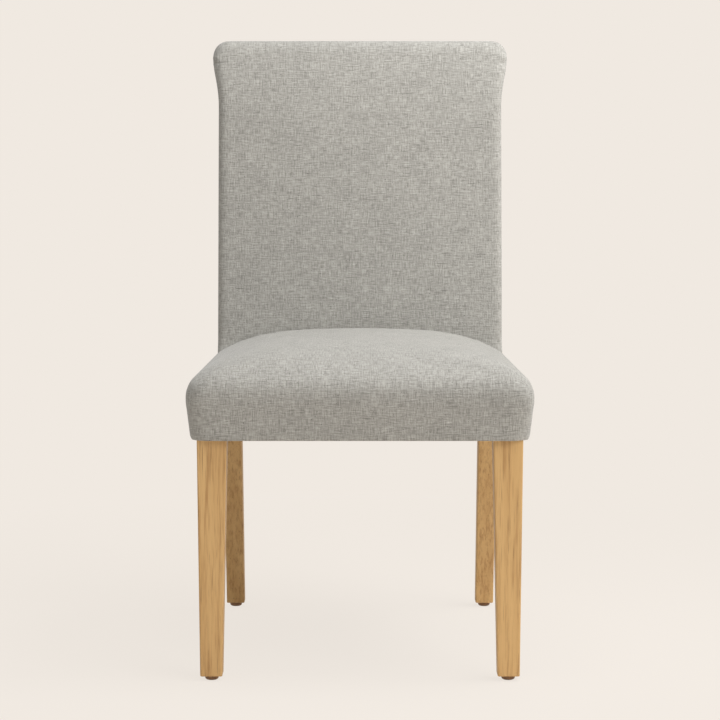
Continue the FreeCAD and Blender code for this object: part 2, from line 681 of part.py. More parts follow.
# Back cushion
def back_section(front, behind, half_width, depth, crown, layer):
    """Points round one cross-section: a crowned front, rounded edges, flat sides and a flat rear."""
    w = half_width - layer
    r = BACK_EDGE_RADIUS - layer
    edge = layer + crown
    far = depth - min(layer, COVER)
    steps = range(CORNER_STEPS + 1)
    bend = [math.pi / 2 * k / CORNER_STEPS for k in steps]
    left = [(-w + r - r * math.cos(a), edge + r - r * math.sin(a)) for a in bend]
    right = [(-x, d) for x, d in reversed(left)]
    across = [2 * k / CROWN_STEPS - 1 for k in range(1, CROWN_STEPS)]
    front_line = [((w - r) * share, layer + crown * share**2) for share in across]
    rear = [(w, far - REAR_EDGE_FLAT), (w - REAR_EDGE_FLAT, far)]
    rear += [(-x, d) for x, d in reversed(rear)]
    return [front + V(x, 0, 0) + behind * d for x, d in left + front_line + right + rear]


def back_body(layer, deeper=0):
    """The leaning body and its neck, a layer inside the cover and perhaps deeper behind."""
    sections = []
    low = V(0, KNEE_REAR_Y, SEAT_BOTTOM - POST_KNEE_DEPTH)
    for rear in (low, V(0, KNEE_REAR_Y, RAIL_TOP), neck_point(POST_NECK_REAR, 0)):
        depth = (rear - SEAT_LINE).dot(BEHIND)
        sections.append(back_section(
            rear - BEHIND * depth, BEHIND, BACK_HALF_WIDTH, depth + COVER + deeper, BACK_CROWN, layer))
    for k in range(1, NECK_STEPS + 1):
        share = k / NECK_STEPS
        start = neck_point(NECK_TUCK * share, share)
        behind = (NECK_CENTRE - start).normalize()
        depth = rear_depth(share) - NECK_TUCK * share
        half = BACK_HALF_WIDTH + (BACK_NECK_HALF_WIDTH - BACK_HALF_WIDTH) * share**3
        crown = BACK_CROWN + (NECK_CROWN - BACK_CROWN) * share
        sections.append(back_section(start, behind, half, depth + COVER + deeper, crown, layer))
    return faceted(sections)


def back_roll(layer):
    """The roll along the top, with ends domed in a few steps."""
    end = ROLL_HALF_LENGTH - ROLL_END_RADIUS
    curve = ROLL_END_RADIUS - layer
    angles = [math.pi / 2 * k / DOME_STEPS for k in range(DOME_STEPS + 1)]
    dome = [(end + curve * math.sin(a), ROLL_RADIUS - layer - curve * (1 - math.cos(a))) for a in angles]
    half = [(-x, radius) for x, radius in reversed(dome)]
    return faceted([
        ring(ROLL_CENTRE + V(x, 0, 0), V(1, 0, 0), radius, ROUND_FLATS) for x, radius in half + dome])


def behind_face(depth, half_width, z0, rear):
    """All that lies a depth behind the back's face and neck, as far as a rear depth."""
    return side_solid(-half_width, half_width, face_point(depth, z0), [
        neck_point(depth, 0),
        (neck_point(depth, 0.5), neck_point(depth, 1)),
        neck_point(rear, 1),
        (neck_point(rear, 0.5), neck_point(rear, 0)),
        face_point(rear, z0),
    ])


def make_back_layers():
    """Lining, wadding and cover over the posts, with the roll's padding round the crest rail."""
    posts = (pieces["rear_right_post"], pieces["rear_left_post"])
    core_layer = COVER + SIDE_BATTING
    cloth_depth = BACK_PAD - WEBBING - CLOTH
    outer = back_body(0).fuse(back_roll(0))
    lining = back_body(COVER).fuse(back_roll(COVER))
    core = back_body(core_layer, 2 * REAR_EDGE_FLAT)
    wadded = back_body(COVER, -COVER_GAP).fuse(back_roll(COVER))
    padded_roll = back_roll(core_layer)
    frame = frame_prism(0, DECK_TOP)

    crest = rod(CREST_RADIUS, ROLL_CENTRE - V(POST_OUTER_X, 0, 0), ROLL_CENTRE + V(POST_OUTER_X, 0, 0))
    pieces["roll_padding"] = padded_roll.cut(crest).cut(posts)
    pieces["back_deck_cloth"] = behind_face(
        cloth_depth, POST_OUTER_X, DECK_TOP + CLOTH, BACK_PAD - WEBBING).cut(padded_roll)
    solid_back = behind_face(cloth_depth, CHAIR_HEIGHT, 0, CHAIR_HEIGHT / 4)
    pieces["back_foam"] = above(core, DECK_TOP).cut(solid_back).cut(padded_roll)
    batting = above(wadded, RAIL_BOTTOM).cut(core).cut(padded_roll).cut(frame)
    pieces["back_batting"] = batting.cut(posts)
    window = behind_face(BACK_PAD + COVER, POST_OUTER_X - WINDOW_MARGIN, 0, CHAIR_HEIGHT / 4)
    window = window.cut(rod(ROLL_RADIUS + COVER_GAP, ROLL_CENTRE - V(CHAIR_HEIGHT, 0, 0),
                            ROLL_CENTRE + V(CHAIR_HEIGHT, 0, 0)))
    shell = above(outer, SEAT_BOTTOM).cut(lining).cut(window)
    pieces["back_cover"] = shell.cut(frame).cut(posts)


def make_back_webbing():
    """Straps across the posts' front faces, spaced evenly up the straight of the back."""
    half = STRAP_WIDTH / 2
    first = RAIL_TOP + LOWER_RAIL_GAP + LOWER_RAIL_HEIGHT + half
    last = NECK_Z - half - STRAP_MARGIN
    straps = []
    for k in range(BACK_STRAP_COUNT):
        z = first + (last - first) * k / (BACK_STRAP_COUNT - 1)
        foot = face_point(BACK_PAD, z) - UP * half
        straps.append(side_solid(-POST_OUTER_X + STRAP_MARGIN, POST_OUTER_X - STRAP_MARGIN, foot, [
            foot + UP * STRAP_WIDTH,
            foot + UP * STRAP_WIDTH - BEHIND * WEBBING,
            foot - BEHIND * WEBBING,
        ]))
    pieces["back_webbing"] = Part.makeCompound(straps)


def make_outside_back():
    """The separate panel behind the posts, hung from a stiff strip just under the roll."""
    def line(out):
        shift = V(0, out, 0)
        return (
            V(0, KNEE_REAR_Y, SEAT_BOTTOM) + shift,
            V(0, KNEE_REAR_Y, RAIL_TOP) + shift,
            neck_point(POST_NECK_REAR, 0) + shift,
            neck_point(rear_depth(0.5), 0.5) + shift,
            neck_point(POST_HEAD_REAR, 1) + shift,
        )

    near = line(COVER)
    far = line(2 * COVER)
    half = BACK_HALF_WIDTH - REAR_EDGE_FLAT
    panel = side_solid(-half, half, near[0], [
        near[1], near[2], (near[3], near[4]), far[4], (far[3], far[2]), far[1], far[0]])
    pieces["outside_back_panel"] = panel.cut(back_body(0)).cut(back_roll(0))
    reach = math.sqrt((ROLL_RADIUS + TACK_STRIP_DROP) ** 2 - CREST_RADIUS**2)
    arc = NECK_ANGLE * (NECK_RADIUS - POST_HEAD_REAR)
    top_share = 1 - reach / arc
    low_share = 1 - (reach + TACK_STRIP_WIDTH) / arc
    top = neck_point(rear_depth(top_share), top_share)
    low = neck_point(rear_depth(low_share), low_share)
    depth = V(0, COVER, 0)
    strip_half = POST_OUTER_X - WINDOW_MARGIN
    strip = side_solid(-strip_half, strip_half, low - depth, [low + depth, top + depth, top - depth])
    strip = strip.cut(pieces["outside_back_panel"])
    pieces["outside_back_tack_strip"] = strip.cut((pieces["rear_right_post"], pieces["rear_left_post"]))


make_frame()
make_dowels()
make_screws()
make_bolts()
make_glides()
make_seat_webbing()
make_seat_cushion()
make_dust_cover()
make_back_layers()
make_back_webbing()
make_outside_back()

MIDDLE_Y = (HEEL_Y - SEAT_OVERHANG) / 2
for name, shape in pieces.items():
    moved = shape.copy()
    moved.translate(V(0, -MIDDLE_Y, 0))
    moved.exportStep(f"parts/{name}.step")
    print(name, len(moved.Solids), moved.isValid(), round(moved.Volume / 1000, 2))
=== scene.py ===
import math

import bmesh
import bpy
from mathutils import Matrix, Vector, noise


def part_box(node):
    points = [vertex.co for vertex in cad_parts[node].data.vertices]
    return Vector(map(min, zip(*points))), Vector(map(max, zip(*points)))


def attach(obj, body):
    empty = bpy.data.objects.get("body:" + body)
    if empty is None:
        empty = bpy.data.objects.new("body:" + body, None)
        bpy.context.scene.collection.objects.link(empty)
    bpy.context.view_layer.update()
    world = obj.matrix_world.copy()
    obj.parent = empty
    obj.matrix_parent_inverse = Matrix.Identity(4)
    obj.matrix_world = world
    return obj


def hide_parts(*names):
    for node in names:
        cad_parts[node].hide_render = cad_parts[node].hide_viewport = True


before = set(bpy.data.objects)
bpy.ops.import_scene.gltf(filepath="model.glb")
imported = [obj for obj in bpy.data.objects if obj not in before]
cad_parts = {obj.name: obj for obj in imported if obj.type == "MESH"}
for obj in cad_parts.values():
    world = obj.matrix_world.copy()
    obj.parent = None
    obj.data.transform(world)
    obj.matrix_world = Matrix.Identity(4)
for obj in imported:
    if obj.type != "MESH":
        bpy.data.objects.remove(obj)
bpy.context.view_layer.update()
scene = bpy.context.scene
MM = 0.001

# Sizes in millimetres, in the layout whose y starts at the front legs' front faces
MIDDLE_Y = 282.5
SEAT_OVERHANG = 15.0
SEAT_HALF_WIDTH = 251.0
SEAT_TAPER = 0.0237
SEAT_BOTTOM = 351.5
SEAT_HEIGHT = 480.0
SEAT_CORNER = 28.0
SEAT_TUCK = 6.3
SEAT_REACH = 160.0
BULGE_Z = 407.0
CROWN_POWER = 2.8
COVER = 1.6
GAP = 0.3
RAIL_BOTTOM = SEAT_BOTTOM + COVER
KNEE_Z = RAIL_BOTTOM + 72.0
DECK_TOP = 428.1
RAIL_THICKNESS = 22.0
LEG_OUTER_X = 234.2
LEG_INNER_X = 191.2
LEG_TOP = 43.0
POST_OUTER_X = 223.5
POST_INNER_X = 194.0
CHAIR_HEIGHT = 943.0
BACK_FACE_Y = 440.0
LEAN = math.radians(8.0)
NECK_Z = 800.0
ROLL_RADIUS = 31.0
ROLL_CENTRE_Y = 547.0
CREST_RADIUS = 21.0
BACK_PAD = 30.0
BACK_CLOTH_DEPTH = BACK_PAD - 2.1
KNEE_DEPTH = 44.0
POST_NECK_REAR = BACK_PAD + 28.0
POST_HEAD_REAR = ROLL_RADIUS + CREST_RADIUS
BACK_HALF_WIDTH = 230.2
ROLL_HALF_LENGTH = 241.0
ROLL_END = 25.0
BACK_CROWN = 3.0
BACK_EDGE = 13.0
HIDDEN_EDGE = 3.0
HIDDEN_CROWN = 0.5
FLARE_Z = 840.0
FLARE = 10.7
FLARE_POWER = 1.6
PLEAT_WIDTH = 2.6
HIDDEN_LEAD = 8.0
HIDDEN_TOP = 436.0
PLEAT_DEPTH = 1.8
PLEAT_DEGREES = (-168, -140, -112, -84, -52)

# The soft forms: the grid they are remeshed on, the rounds of smoothing, and how far each may swell
GRID = 5.0
SMOOTH_ROUNDS = 4
SEAT_SWELL = 4.0
BACK_SWELL = 4.0
SWELL_LIMIT = 1.3
PRESSURE = 4.0
SWELL_FRAMES = 12

# Cutting solids reach this far, past every side of the chair
CUT_HALF_WIDTH = 400.0
CUT_LOW = 250.0
CUT_HIGH = 600.0
CUT_FRONT = -200.0
CUT_REAR = 900.0

UP = Vector((0, math.sin(LEAN), math.cos(LEAN)))
BEHIND = Vector((0, math.cos(LEAN), -math.sin(LEAN)))
SEAT_LINE = Vector((0, BACK_FACE_Y, SEAT_HEIGHT))
NECK_START = SEAT_LINE + UP * ((NECK_Z - SEAT_HEIGHT) / math.cos(LEAN))
ROLL_CENTRE = Vector((0, ROLL_CENTRE_Y, CHAIR_HEIGHT - ROLL_RADIUS))
TO_ROLL = ROLL_CENTRE - NECK_START
NECK_RADIUS = (TO_ROLL.dot(TO_ROLL) - ROLL_RADIUS**2) / (2 * (TO_ROLL.dot(BEHIND) - ROLL_RADIUS))
NECK_CENTRE = NECK_START + BEHIND * NECK_RADIUS
NECK_ANGLE = math.atan2(ROLL_CENTRE.z - NECK_CENTRE.z, NECK_CENTRE.y - ROLL_CENTRE.y) - LEAN


def face_point(depth, z):
    return Vector((0, BACK_FACE_Y + (z - SEAT_HEIGHT) * math.tan(LEAN) + depth / math.cos(LEAN), z))


def neck_point(depth, share):
    angle = LEAN + share * NECK_ANGLE
    return NECK_CENTRE + Vector((0, -math.cos(angle), math.sin(angle))) * (NECK_RADIUS - depth)


KNEE_Y = face_point(BACK_PAD, KNEE_Z).y
KNEE_REAR_Y = KNEE_Y + KNEE_DEPTH


def rear_depth(share):
    return POST_NECK_REAR + (POST_HEAD_REAR - POST_NECK_REAR) * share


def placed(point):
    """A point of the layout, in millimetres, as the row frame's metres."""
    return Vector((point[0], point[1] - MIDDLE_Y, point[2])) * MM


# Meshes
def make_object(name, verts, faces, smooth=True):
    mesh = bpy.data.meshes.new(name)
    mesh.from_pydata([tuple(v) for v in verts], [], faces)
    mesh.validate()
    obj = bpy.data.objects.new(name, mesh)
    scene.collection.objects.link(obj)
    outward(obj)
    if smooth:
        mesh.shade_smooth()
    return obj


def outward(obj):
    work = bmesh.new()
    work.from_mesh(obj.data)
    bmesh.ops.recalc_face_normals(work, faces=work.faces)
    work.to_mesh(obj.data)
    work.free()


def lofted(name, loops):
    """A closed mesh through loops of matching points, with a lid on each end."""
    count = len(loops[0])
    verts = [placed(p) for loop in loops for p in loop]
    faces = [list(range(count)), list(range(len(verts) - count, len(verts)))]
    for row in range(len(loops) - 1):
        low = row * count
        high = low + count
        for k in range(count):
            faces.append([low + k, low + (k + 1) % count, high + (k + 1) % count, high + k])
    return make_object(name, verts, faces)


def prism(name, x0, x1, outline):
    """A solid between two x planes over a side outline of (y, z)."""
    return lofted(name, [[(x, y, z) for y, z in outline] for x in (x0, x1)])


def plan_prism(name, z0, z1, outline):
    return lofted(name, [[(x, y, z) for x, y in outline] for z in (z0, z1)])


def bake_modifiers(obj):
    """Make what the modifiers show the object's own mesh."""
    shown = obj.evaluated_get(bpy.context.evaluated_depsgraph_get())
    mesh = bpy.data.meshes.new_from_object(shown)
    obj.modifiers.clear()
    old = obj.data
    obj.data = mesh
    mesh.name = obj.name
    bpy.data.meshes.remove(old)


def softened(obj):
    """Remesh the form on an even grid and round its edges."""
    step = obj.modifiers.new("remesh", "REMESH")
    step.mode = "VOXEL"
    step.voxel_size = GRID * MM
    bake_modifiers(obj)
    step = obj.modifiers.new("smooth", "SMOOTH")
    step.factor = 0.5
    step.iterations = SMOOTH_ROUNDS
    bake_modifiers(obj)


def swollen(obj, held, cap):
    """Swell a padded form as cloth under pressure; held gives how firmly each point stays, from 0 to 1.

    No point moves by more than cap, in metres."""
    before = [v.co.copy() for v in obj.data.vertices]
    grip = [held(v.co, v.normal) for v in obj.data.vertices]
    group = obj.vertex_groups.new(name="held")
    for index, weight in enumerate(grip):
        if weight > 0:
            group.add([index], weight, "REPLACE")
    cloth = obj.modifiers.new("cloth", "CLOTH")
    cloth.settings.quality = 5
    cloth.settings.use_pressure = True
    cloth.settings.uniform_pressure_force = PRESSURE
    cloth.settings.vertex_group_mass = "held"
    cloth.settings.effector_weights.gravity = 0
    for number in range(1, SWELL_FRAMES + 1):
        scene.frame_set(number)
    bake_modifiers(obj)
    scene.frame_set(1)
    points = obj.data.vertices
    moves = [(point.co - old) * (1 - weight) for point, old, weight in zip(points, before, grip)]
    share = min(1.0, cap / max(move.length for move in moves))
    for point, old, move in zip(points, before, moves):
        point.co = old + move * share


def subdivided(obj):
    step = obj.modifiers.new("subdivision", "SUBSURF")
    step.levels = 1
    step.render_levels = 1
    bake_modifiers(obj)
    obj.data.shade_smooth()


def carved(obj, *cutters):
    """Take the cutters' space out of the object."""
    for cutter in cutters:
        step = obj.modifiers.new("carve", "BOOLEAN")
        step.operation = "DIFFERENCE"
        step.solver = "EXACT"
        step.object = cutter
        bake_modifiers(obj)
        mesh = cutter.data
        bpy.data.objects.remove(cutter)
        bpy.data.meshes.remove(mesh)


# Seat cushion
def rounded_outline(half_front, half_rear, front, rear, radius, steps=8):
    """Points counter-clockwise round a trapezoid with rounded corners."""
    corners = [(-half_front, front), (half_front, front), (half_rear, rear), (-half_rear, rear)]
    points = []
    for k, (x, y) in enumerate(corners):
        side_x = -1 if x < 0 else 1
        side_y = -1 if k < 2 else 1
        centre = (x - side_x * radius, y - side_y * radius)
        first = math.pi + k * math.pi / 2
        for step in range(steps + 1):
            angle = first + math.pi / 2 * step / steps
            points.append((centre[0] + radius * math.cos(angle), centre[1] + radius * math.sin(angle)))
    return points


def seat_loop(z, inset):
    front = -SEAT_OVERHANG + inset
    rear = BACK_FACE_Y + SEAT_REACH - inset
    half_front = SEAT_HALF_WIDTH - inset
    half_rear = half_front - SEAT_TAPER * (rear - front)
    outline = rounded_outline(half_front, half_rear, front, rear, SEAT_CORNER + inset * 0.18)
    return [(x, y, z) for x, y in outline]


def seat_form(lower):
    """The seat's form, its crown lower by what it gains as it swells."""
    loops = []
    for share in (1.06, 0.9, 0.75, 0.6, 0.45, 0.3, 0.15):
        z = BULGE_Z + (SEAT_BOTTOM - BULGE_Z) * share
        loops.append(seat_loop(z, SEAT_TUCK * share))
    for k in range(40):
        share = math.sin(math.pi / 2 * k / 40)
        closing = 1 - (1 - share**CROWN_POWER) ** (1 / CROWN_POWER)
        rise = SEAT_HEIGHT + 1.0 - BULGE_Z - lower
        loops.append(seat_loop(BULGE_Z + rise * share, SEAT_HALF_WIDTH * closing * 0.99))
    return lofted("seat_cushion", loops)


def make_seat():
    seat = seat_form(SEAT_SWELL)
    carved(seat, behind_plane(25.0))
    softened(seat)
    swollen(seat, seat_held, SEAT_SWELL * SWELL_LIMIT * MM)
    subdivided(seat)
    leg = LEG_OUTER_X + GAP
    post = POST_OUTER_X + GAP
    edge = [
        (-leg, -GAP), (leg, -GAP), (leg, LEG_TOP), (post, KNEE_Y),
        (post, 700), (-post, 700), (-post, KNEE_Y), (-leg, LEG_TOP)]
    inner = [(x - math.copysign(RAIL_THICKNESS, x), max(y, RAIL_THICKNESS)) for x, y in edge]
    legs = []
    for side in (-1, 1):
        near = side * (LEG_INNER_X - GAP)
        far = side * leg
        legs.append(plan_prism("cut", 300, RAIL_BOTTOM + 5, [
            (near, -GAP), (far, -GAP), (far, LEG_TOP + GAP), (near, LEG_TOP + GAP)]))
    carved(seat, behind_plane(-GAP), below_seat(), plan_prism("cut", RAIL_BOTTOM - GAP, DECK_TOP, edge),
           plan_prism("cut", 300, RAIL_BOTTOM + 5, inner), *legs)
    return seat


def behind_plane(depth):
    """The space behind the back's leaning plane."""
    low = face_point(depth, CUT_LOW)
    high = face_point(depth, CUT_HIGH)
    return cut_across([tuple(low.yz), tuple(high.yz), (CUT_REAR, CUT_HIGH), (CUT_REAR, CUT_LOW)])


def below_seat():
    """The space under the seat's bottom edge."""
    return cut_across([
        (CUT_FRONT, CUT_LOW), (CUT_REAR, CUT_LOW), (CUT_REAR, SEAT_BOTTOM), (CUT_FRONT, SEAT_BOTTOM)])


def cut_across(outline, half=CUT_HALF_WIDTH):
    """A cutting solid as long as the chair is wide, or as given, over a side outline of (y, z)."""
    return prism("cut", -half, half, outline)


def eased(value, low, high):
    share = min(max((value - low) / (high - low), 0.0), 1.0)
    return share * share * (3 - 2 * share)


def seat_held(place, normal):
    """The skirt is drawn tight over the rails; the crown is free."""
    return 1 - eased(place.z / MM, BULGE_Z, BULGE_Z + 45)


def back_held(place, normal):
    """The sides and the rear are drawn tight; the front is free and the roll half free."""
    sides = eased(abs(place.x) / MM, BACK_HALF_WIDTH - 45, BACK_HALF_WIDTH - 6)
    rear = eased(normal.y, -0.1, 0.5)
    roll = 0.6 * eased(place.z / MM, NECK_Z, ROLL_CENTRE.z)
    return max(sides, rear, roll)


# Back cushion
def back_section(front, behind, half_width, depth, crown, lower, edge_radius):
    """One slice of the back: its face bulges by crown, less lower, between rounded edges."""
    w = half_width
    r = edge_radius
    steps = 6
    points = []
    for k in range(steps + 1):
        a = math.pi / 2 * k / steps
        points.append((-w + r - r * math.cos(a), crown + r - r * math.sin(a)))
    across = 16
    for k in range(1, across):
        share = 2 * k / across - 1
        points.append(((w - r) * share, crown - (crown - lower) * (1 - share**2)))
    points += [(-x, d) for x, d in reversed(points[:steps + 1])]
    points += [(w, depth - 3), (w - 3, depth), (-w + 3, depth), (-w, depth - 3)]
    return [tuple(front + Vector((x, 0, 0)) + behind * d) for x, d in points]


def flared_half(z):
    if z <= FLARE_Z:
        return BACK_HALF_WIDTH
    share = (z - FLARE_Z) / (ROLL_CENTRE.z - FLARE_Z)
    return BACK_HALF_WIDTH + FLARE * min(share, 1) ** FLARE_POWER


def back_form(lower):
    """The back's form, its front's crown lower by what it gains as it swells.

    Where the seat hides its front it reaches ahead of the leaning plane, to be cut to it later."""
    knee = Vector((0, KNEE_REAR_Y, KNEE_Z))
    neck = neck_point(POST_NECK_REAR, 0)
    rise = (neck - knee) / (neck.z - knee.z)
    rears = [
        (Vector((0, KNEE_REAR_Y, SEAT_BOTTOM - 30)), True),
        (Vector((0, KNEE_REAR_Y, SEAT_BOTTOM + 52)), True),
        (knee + rise * 2, False),
        (knee + rise * 24, False),
        (neck, False)]
    sections = []
    for rear, hidden in rears:
        depth = (rear - SEAT_LINE).dot(BEHIND)
        ahead = HIDDEN_LEAD if hidden else 0.0
        behind_seat = rear.z < knee.z + 10
        radius = HIDDEN_EDGE if behind_seat else BACK_EDGE
        crown = HIDDEN_CROWN if behind_seat else BACK_CROWN
        sections.append(back_section(
            rear - BEHIND * (depth + ahead), BEHIND, BACK_HALF_WIDTH, depth + ahead + COVER, crown,
            0 if hidden else min(lower, crown), radius))
    steps = 14
    for k in range(1, steps + 1):
        share = k / steps
        start = neck_point(0, share)
        behind = (NECK_CENTRE - start).normalized()
        depth = rear_depth(share)
        crown = BACK_CROWN + (0.5 - BACK_CROWN) * share
        sections.append(back_section(
            start, behind, flared_half(start.z), depth + COVER, crown, lower * (1 - share), BACK_EDGE))
    body = lofted("back_cushion", sections)
    rings = []
    radius = ROLL_RADIUS
    curve = ROLL_END
    dome = [math.pi / 2 * k / 10 for k in range(11)]
    ends = []
    for a in dome:
        ends.append((ROLL_HALF_LENGTH - curve + curve * math.sin(a), radius - curve * (1 - math.cos(a))))
    for x, r in [(-x, r) for x, r in reversed(ends)] + ends:
        rings.append([(x, y, z) for y, z in roll_circle(r, 64)])
    roll = lofted("roll", rings)
    return joined(body, roll)


def roll_circle(radius, count):
    """Side points (y, z) of a circle about the roll's centre."""
    turns = [2 * math.pi * k / count for k in range(count)]
    return [(ROLL_CENTRE.y + radius * math.cos(a), ROLL_CENTRE.z + radius * math.sin(a)) for a in turns]


def joined(first, *others):
    work = bmesh.new()
    for obj in (first, *others):
        work.from_mesh(obj.data)
    work.to_mesh(first.data)
    work.free()
    for obj in others:
        mesh = obj.data
        bpy.data.objects.remove(obj)
        bpy.data.meshes.remove(mesh)
    return first


def make_back():
    back = back_form(BACK_SWELL)
    softened(back)
    swollen(back, back_held, BACK_SWELL * SWELL_LIMIT * MM)
    subdivided(back)
    pleated(back)
    steps = 12
    shares = [k / steps for k in range(steps + 1)]
    past_posts = KNEE_REAR_Y + 20
    outline = [face_point(BACK_CLOTH_DEPTH, 300)] + [neck_point(BACK_CLOTH_DEPTH, s) for s in shares]
    outline += [neck_point(POST_HEAD_REAR + (74 - POST_HEAD_REAR) * (1 - s), s) for s in reversed(shares)]
    outline.append(Vector((0, past_posts, KNEE_Z)))
    outline.append(Vector((0, past_posts, 300)))
    half = POST_OUTER_X + GAP
    cavity = cut_across([(p.y, p.z) for p in outline], half)
    crest = cut_across(roll_circle(CREST_RADIUS + GAP, 48), half)
    front = face_point(-40, 300).y
    low = face_point(0, CUT_LOW)
    high = face_point(0, HIDDEN_TOP)
    ahead = cut_across([(front, CUT_LOW), tuple(low.yz), tuple(high.yz), (front, HIDDEN_TOP)])
    rails = cut_across([
        (front, CUT_LOW), (KNEE_REAR_Y, CUT_LOW), (KNEE_REAR_Y, DECK_TOP), (front, DECK_TOP)], half)
    carved(back, cavity, crest, below_seat(), ahead, rails)
    return back


def pleated(obj):
    """Press the pleats that gather the cloth into the roll's ends."""
    for vertex in obj.data.vertices:
        place = vertex.co / MM
        if abs(place.x) < ROLL_HALF_LENGTH - 16:
            continue
        across = Vector((place.y + MIDDLE_Y - ROLL_CENTRE.y, place.z - ROLL_CENTRE.z))
        reach = across.length
        if reach > ROLL_RADIUS + 4:
            continue
        angle = math.atan2(across.y, across.x)
        for pleat in PLEAT_DEGREES:
            off = (angle - math.radians(pleat) + math.pi) % (2 * math.pi) - math.pi
            if abs(off) > 1.0:
                continue
            fold = math.exp(-(reach * math.sin(off) / PLEAT_WIDTH) ** 2)
            depth = PLEAT_DEPTH * fold * eased(reach, 5, 16)
            vertex.co -= vertex.normal * depth * MM


# Outside back panel, a stretched sheet with turned edges
def make_outside_back():
    path = [Vector((0, KNEE_REAR_Y, SEAT_BOTTOM + 0.4))]
    knee = Vector((0, KNEE_REAR_Y, KNEE_Z))
    neck = neck_point(POST_NECK_REAR, 0)
    for k in range(1, 13):
        path.append(path[0].lerp(knee, k / 12))
    for k in range(1, 61):
        path.append(knee.lerp(neck, k / 60))
    for k in range(1, 15):
        share = k / 16
        path.append(neck_point(rear_depth(share), share))
    half = BACK_HALF_WIDTH - 3.0
    across = 90
    verts = []
    for side in (0, 1):
        for row, p in enumerate(path):
            along = row / (len(path) - 1)
            for k in range(across + 1):
                share = 2 * k / across - 1
                edge = max(abs(share) - 0.985, 0) / 0.015
                puff = 1.1 * (1 - share**4) * math.sin(math.pi * min(max(along, 0.02), 0.98)) ** 0.5
                out = COVER + GAP + (COVER - 0.2) * (1 - side) * (1 - 0.8 * edge**2) + puff
                verts.append(placed((half * share, p.y + out, p.z)))
    count = across + 1
    total = count * len(path)
    faces = []
    for row in range(len(path) - 1):
        for k in range(across):
            a = row * count + k
            faces.append([a, a + 1, a + count + 1, a + count])
            b = a + total
            faces.append([b, b + count, b + count + 1, b + 1])
    for row in range(len(path) - 1):
        for k in (0, across):
            a = row * count + k
            faces.append([a, a + count, a + count + total, a + total])
    for k in range(across):
        for row in (0, len(path) - 1):
            a = row * count + k
            faces.append([a, a + 1, a + 1 + total, a + total])
    return make_object("outside_back", verts, faces)


# Dust cover under the seat, with the staples that hold it
DUST_INSET = 8.0


def dust_outline():
    """The right half of the dust cover's outline, from the front to the rear."""
    front = DUST_INSET
    rear = KNEE_Y + 5 + RAIL_THICKNESS - DUST_INSET
    leg = LEG_INNER_X - COVER
    leg_y = LEG_TOP + COVER
    post = POST_INNER_X - COVER
    post_y = KNEE_Y - COVER
    return [
        (leg, front), (leg, leg_y), (rail_outer(leg_y) - DUST_INSET, leg_y),
        (rail_outer(post_y) - DUST_INSET, post_y), (post, post_y), (post, rear)]


def rail_outer(y):
    """How far out the side rails' outer faces are at y."""
    share = (y - LEG_TOP) / (KNEE_Y - LEG_TOP)
    return LEG_OUTER_X + share * (POST_OUTER_X - LEG_OUTER_X)


def make_dust_cover():
    right = dust_outline()
    outline = right + [(-x, y) for x, y in reversed(right)]
    sheet = plan_prism("dust_cover_cloth", SEAT_BOTTOM - 0.6, SEAT_BOTTOM - 0.05, outline)
    area = 0.0
    for k, (x, y) in enumerate(outline):
        x2, y2 = outline[(k + 1) % len(outline)]
        area += (x * y2 - x2 * y) / 2
    work = bmesh.new()
    work.from_mesh(sheet.data)
    bmesh.ops.triangulate(work, faces=work.faces)
    bmesh.ops.subdivide_edges(
        work, edges=[e for e in work.edges if e.calc_length() > 0.03], cuts=12, use_grid_fill=True)
    work.to_mesh(sheet.data)
    work.free()
    sheet.data.shade_flat()
    return sheet, abs(area) * MM * MM


def make_staples():
    """Staples an even distance apart along the dust cover's edges."""
    verts = []
    faces = []
    right = dust_outline()
    inset = 5.0
    runs = []
    side_start, side_end = right[2], right[3]
    for hand in (-1, 1):
        runs.append((
            (hand * (side_start[0] - inset), side_start[1] + 8),
            (hand * (side_end[0] - inset), side_end[1] - 8)))
    runs.append(((-right[0][0] + 10, right[0][1] + inset), (right[0][0] - 10, right[0][1] + inset)))
    runs.append(((-right[5][0] + 10, right[5][1] - inset), (right[5][0] - 10, right[5][1] - inset)))
    for (x0, y0), (x1, y1) in runs:
        length = math.hypot(x1 - x0, y1 - y0)
        along = Vector(((x1 - x0) / length, (y1 - y0) / length, 0))
        across = Vector((-along.y, along.x, 0))
        count = int(length / 34)
        for k in range(count + 1):
            middle = Vector((x0, y0, 0)) + along * (length * k / count)
            turn = 0.16 * noise.noise(middle * 0.37)
            way = (along + across * turn).normalized()
            side = Vector((-way.y, way.x, 0))
            base = len(verts)
            for end in (-1, 1):
                for wide in (-1, 1):
                    for z in (SEAT_BOTTOM - 1.3, SEAT_BOTTOM - 0.62):
                        point = middle + way * (end * 5.0) + side * (wide * 0.35)
                        verts.append(placed((point.x, point.y, z)))
            faces += [[base + i for i in quad] for quad in (
                (0, 1, 3, 2), (4, 5, 7, 6), (0, 1, 5, 4), (2, 3, 7, 6), (0, 2, 6, 4), (1, 3, 7, 5))]
    return make_object("dust_cover_staples", verts, faces, smooth=False)


